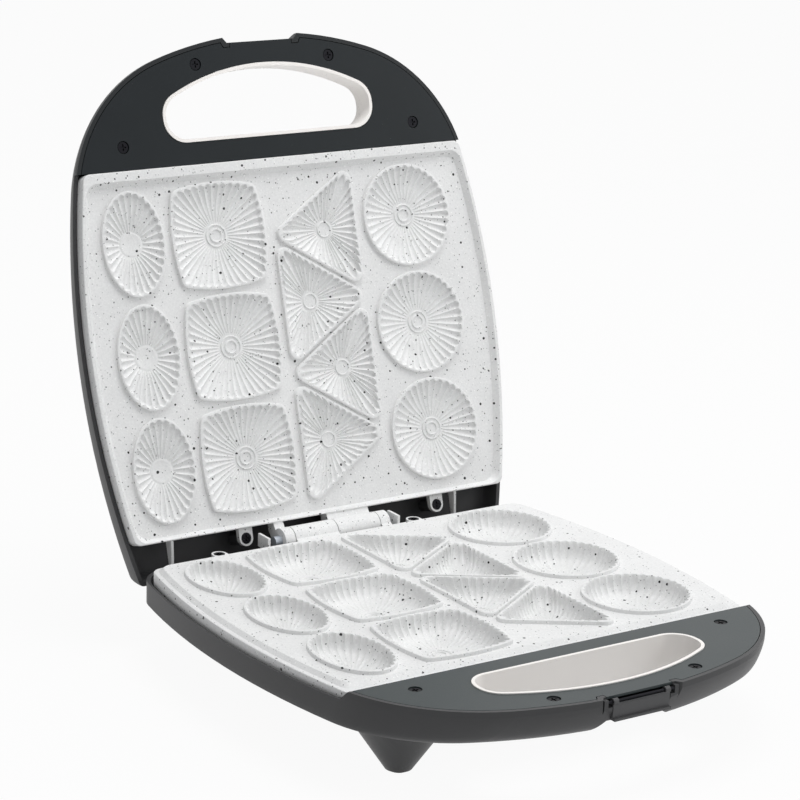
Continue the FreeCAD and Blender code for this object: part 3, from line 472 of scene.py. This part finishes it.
def fluted(edge, step):
    """The edge and its steps at the points of even flutes, and how far each is up its ridge."""
    run = np.concatenate([[0], np.cumsum(np.linalg.norm(np.diff(edge, axis=0), axis=1))])
    count = 2 * round(run[-1] / FLUTE_PITCH / 2)
    place = (np.arange(count)[:, None] + np.array(FLUTE_POINTS)).ravel()
    ridge = 1 - np.abs(np.sin(math.pi * place))
    ridge = np.append(ridge, ridge[0])
    place = np.append(place / count * run[-1], run[-1])

    def at_places(line):
        return np.stack([np.interp(place, run, line[:, axis]) for axis in (0, 1)], axis=1)

    return at_places(edge), at_places(step), ridge


def mould_rings(outline, inner_radius, section, disc_radius, raised):
    """Rings of points from the lip's outer foot to the middle, with their depths."""
    edge, step, ridge = outline
    wall, floor, disc_depth = section
    level = np.full(len(edge), disc_depth)
    rings = []
    for inset, depth, inwards, up in LIP + wall:
        rings.append((edge + step * (inset + inwards * ridge)[:, None], depth - up * ridge))
    wall_end = wall[-1][0]
    foot = edge + step * wall_end
    heading = foot / np.linalg.norm(foot, axis=1)[:, None]
    reach = inner_radius - disc_radius - wall_end
    for inset, depth, up in floor:
        share = (inset - wall_end) / reach
        if share < FLOOR_END:
            rings.append((foot + (heading * disc_radius - foot) * share, depth - up * ridge))
    rings.append((heading * disc_radius, level - floor[-1][2] * DISC_RIDGE * ridge))
    rings.append((heading * (disc_radius - DISC_EDGE), level))
    for radius, height, half in raised:
        for across, up in RING_SECTION:
            rings.append((heading * (radius + half * across), level - height * up))
    rings.append((heading * 0.0, level))
    return rings


def mould_mesh(name, rings, way):
    """One mould, rolled up from a flat grid.

    way is -1 in the base, and 1 in the lid, which faces down.
    """
    flat = np.array([ring[0] for ring in rings])
    depth = np.array([ring[1] for ring in rings])
    place = np.concatenate([flat, way * depth[:, :, None]], axis=2) * MM
    if way > 0:
        place = place[:, ::-1]
    rows, columns = depth.shape
    bpy.ops.object.select_all(action="DESELECT")
    bpy.ops.mesh.primitive_grid_add(x_subdivisions=columns - 1, y_subdivisions=rows - 1, size=1)
    mould = bpy.context.object
    mould.name = name
    mould.data.vertices.foreach_set("co", place.astype(np.float32).ravel())
    mould.data.update()
    bpy.ops.object.mode_set(mode="EDIT")
    bpy.ops.mesh.select_all(action="SELECT")
    bpy.ops.mesh.remove_doubles(threshold=MERGE * MM)
    bpy.ops.object.mode_set(mode="OBJECT")
    back = mould.modifiers.new("back", "SOLIDIFY")
    back.thickness = COATING * MM
    back.offset = -1.0
    bpy.ops.object.modifier_apply(modifier=back.name)
    bpy.ops.object.shade_smooth_by_angle(angle=CREASE)
    return mould


def place_mould(master, name, move, body):
    """A copy of the mould with a mesh of its own, at its place in the plate."""
    mould = master.copy()
    mould.data = master.data.copy()
    mould.name = name
    mould.data.name = name
    bpy.context.scene.collection.objects.link(mould)
    mould.data.transform(move)
    mould.data.materials.append(FINISHES["plate_coating"])
    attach(mould, body)


def at_plate(x, y, turn=0.0):
    place = PLATE_ORIGIN + Vector((x, y, 0)) * MM
    return Matrix.Translation(place) @ Matrix.Rotation(turn, 4, "Z")


def row_places(x):
    rows = (("front", -1), ("middle", 0), ("back", 1))
    return [(row, at_plate(x, step * ROW_PITCH + ROW_SHIFT)) for row, step in rows]


def triangle_places():
    """Four triangles from back to front, every other one turned round."""
    rows = ("back", "back_middle", "front_middle", "front")
    middle = (len(rows) - 1) / 2
    places = []
    for step, row in enumerate(rows):
        y = (middle - step) * TRIANGLE_PITCH + TRIANGLE_SHIFT
        odd = step % 2
        places.append((row, at_plate(TRIANGLE_X[odd], y, odd * math.pi)))
    return places


def make_moulds():
    round_half = (ROUND_RADIUS, ROUND_RADIUS)
    square_inner = SQUARE_CORE + SQUARE_CORNER
    tri_inner = TRIANGLE_CORE + TRIANGLE_CORNER
    kinds = (
        ("oval", round_edge(OVAL_HALF), OVAL_HALF[0], OVAL_DISC, FAINT_RING, row_places(OVAL_X)),
        ("square", square_edge(), square_inner, SQUARE_DISC, DOUBLE_RING, row_places(SQUARE_X)),
        ("round", round_edge(round_half), ROUND_RADIUS, ROUND_DISC, DOUBLE_RING, row_places(ROUND_X)),
        ("triangle", triangle_edge(), tri_inner, TRIANGLE_DISC, SINGLE_RING, triangle_places()),
    )
    plates = (
        ("base", -1, (BASE_WALL, BASE_FLOOR, BASE_DISC_DEPTH), Matrix.Identity(4)),
        ("lid", 1, (LID_WALL, LID_FLOOR, LID_DISC_DEPTH), LIFT),
    )
    for kind, edge, inner_radius, disc_radius, raised, places in kinds:
        outline = fluted(*edge)
        for body, way, section, move in plates:
            rings = mould_rings(outline, inner_radius, section, disc_radius, raised)
            master = mould_mesh(f"{kind}_master", rings, way)
            for row, place in places:
                place_mould(master, f"{body}_{kind}_mould_{row}", move @ place, body)
            bpy.data.objects.remove(master)


def white_where_seen(tree, lit, strength):
    """lit as the lamps see it, and plain white to the camera, in mirrors and through glass."""
    path = tree.nodes.new("ShaderNodeLightPath")
    camera, glossy, through = [
        Wire(tree, path.outputs[f"Is {kind} Ray"]) for kind in ("Camera", "Glossy", "Transmission")
    ]
    seen = camera.math("MAXIMUM", camera.math("MAXIMUM", camera, glossy), through)
    white = seen.add("ShaderNodeEmission", {"Color": (1, 1, 1, 1), "Strength": 1.0})
    return seen.add("ShaderNodeMixShader", {0: seen * strength, 1: lit, 2: white})


def make_floor():
    bpy.ops.object.select_all(action="DESELECT")
    bpy.ops.mesh.primitive_plane_add(size=FLOOR_SIDE)
    floor = bpy.context.object
    floor.name = "floor"
    material, shader, at = new_finish("pale_floor")
    colour = at.mixed(at.noise(0.4), rgb(214, 214, 214), rgb(220, 220, 220))
    set_shader(shader, {"Base Color": colour}, Roughness=0.8)
    tree = material.node_tree
    shown = white_where_seen(tree, Wire(tree, shader.outputs[0]), FLOOR_WHITE)
    tree.links.new(shown.out, tree.nodes["Material Output"].inputs["Surface"])
    floor.data.materials.append(material)


def make_world():
    world = bpy.data.worlds.new("studio")
    bpy.context.scene.world = world
    world.use_nodes = True
    tree = world.node_tree
    soft = tree.nodes["Background"]
    soft.inputs["Color"].default_value = STUDIO_TINT
    at = Wire(tree).add("ShaderNodeTexCoord", out="Generated")
    lean = at.vector("DOT_PRODUCT", {0: at, 1: STUDIO_LEAN}, "Value")
    tree.links.new(((lean + 1.0) * STUDIO_LEVEL).out, soft.inputs["Strength"])
    shown = white_where_seen(tree, Wire(tree, soft.outputs[0]), 1.0)
    tree.links.new(shown.out, tree.nodes["World Output"].inputs["Surface"])


def add_softbox(name, at, size, watts):
    """A rectangular lamp, in metres and watts."""
    data = bpy.data.lights.new(name, "AREA")
    data.shape = "RECTANGLE"
    data.size, data.size_y = size
    data.energy = watts
    lamp = bpy.data.objects.new(name, data)
    bpy.context.scene.collection.objects.link(lamp)
    lamp.location = at
    lamp.rotation_euler = (LAMPS_FACE - Vector(at)).to_track_quat("-Z", "Y").to_euler()


def make_lights():
    add_softbox("key_softbox", at=(0.12, 0.0, 1.7), size=(0.9, 0.7), watts=13.6)
    add_softbox("side_softbox", at=(1.25, -0.65, 0.85), size=(0.7, 0.5), watts=4.2)


def make_camera():
    data = bpy.data.cameras.new("camera")
    data.sensor_width = SENSOR
    data.lens = LENS
    camera = bpy.data.objects.new("camera", data)
    bpy.context.scene.collection.objects.link(camera)
    turn = Matrix((CAMERA_RIGHT, CAMERA_UP, CAMERA_BACK)).transposed().to_4x4()
    camera.matrix_world = Matrix.Translation(CAMERA_AT) @ turn
    bpy.context.scene.camera = camera


bpy.context.scene.view_settings.view_transform = "Standard"
dress_cad_nodes()
make_moulds()
make_floor()
make_world()
make_lights()
make_camera()
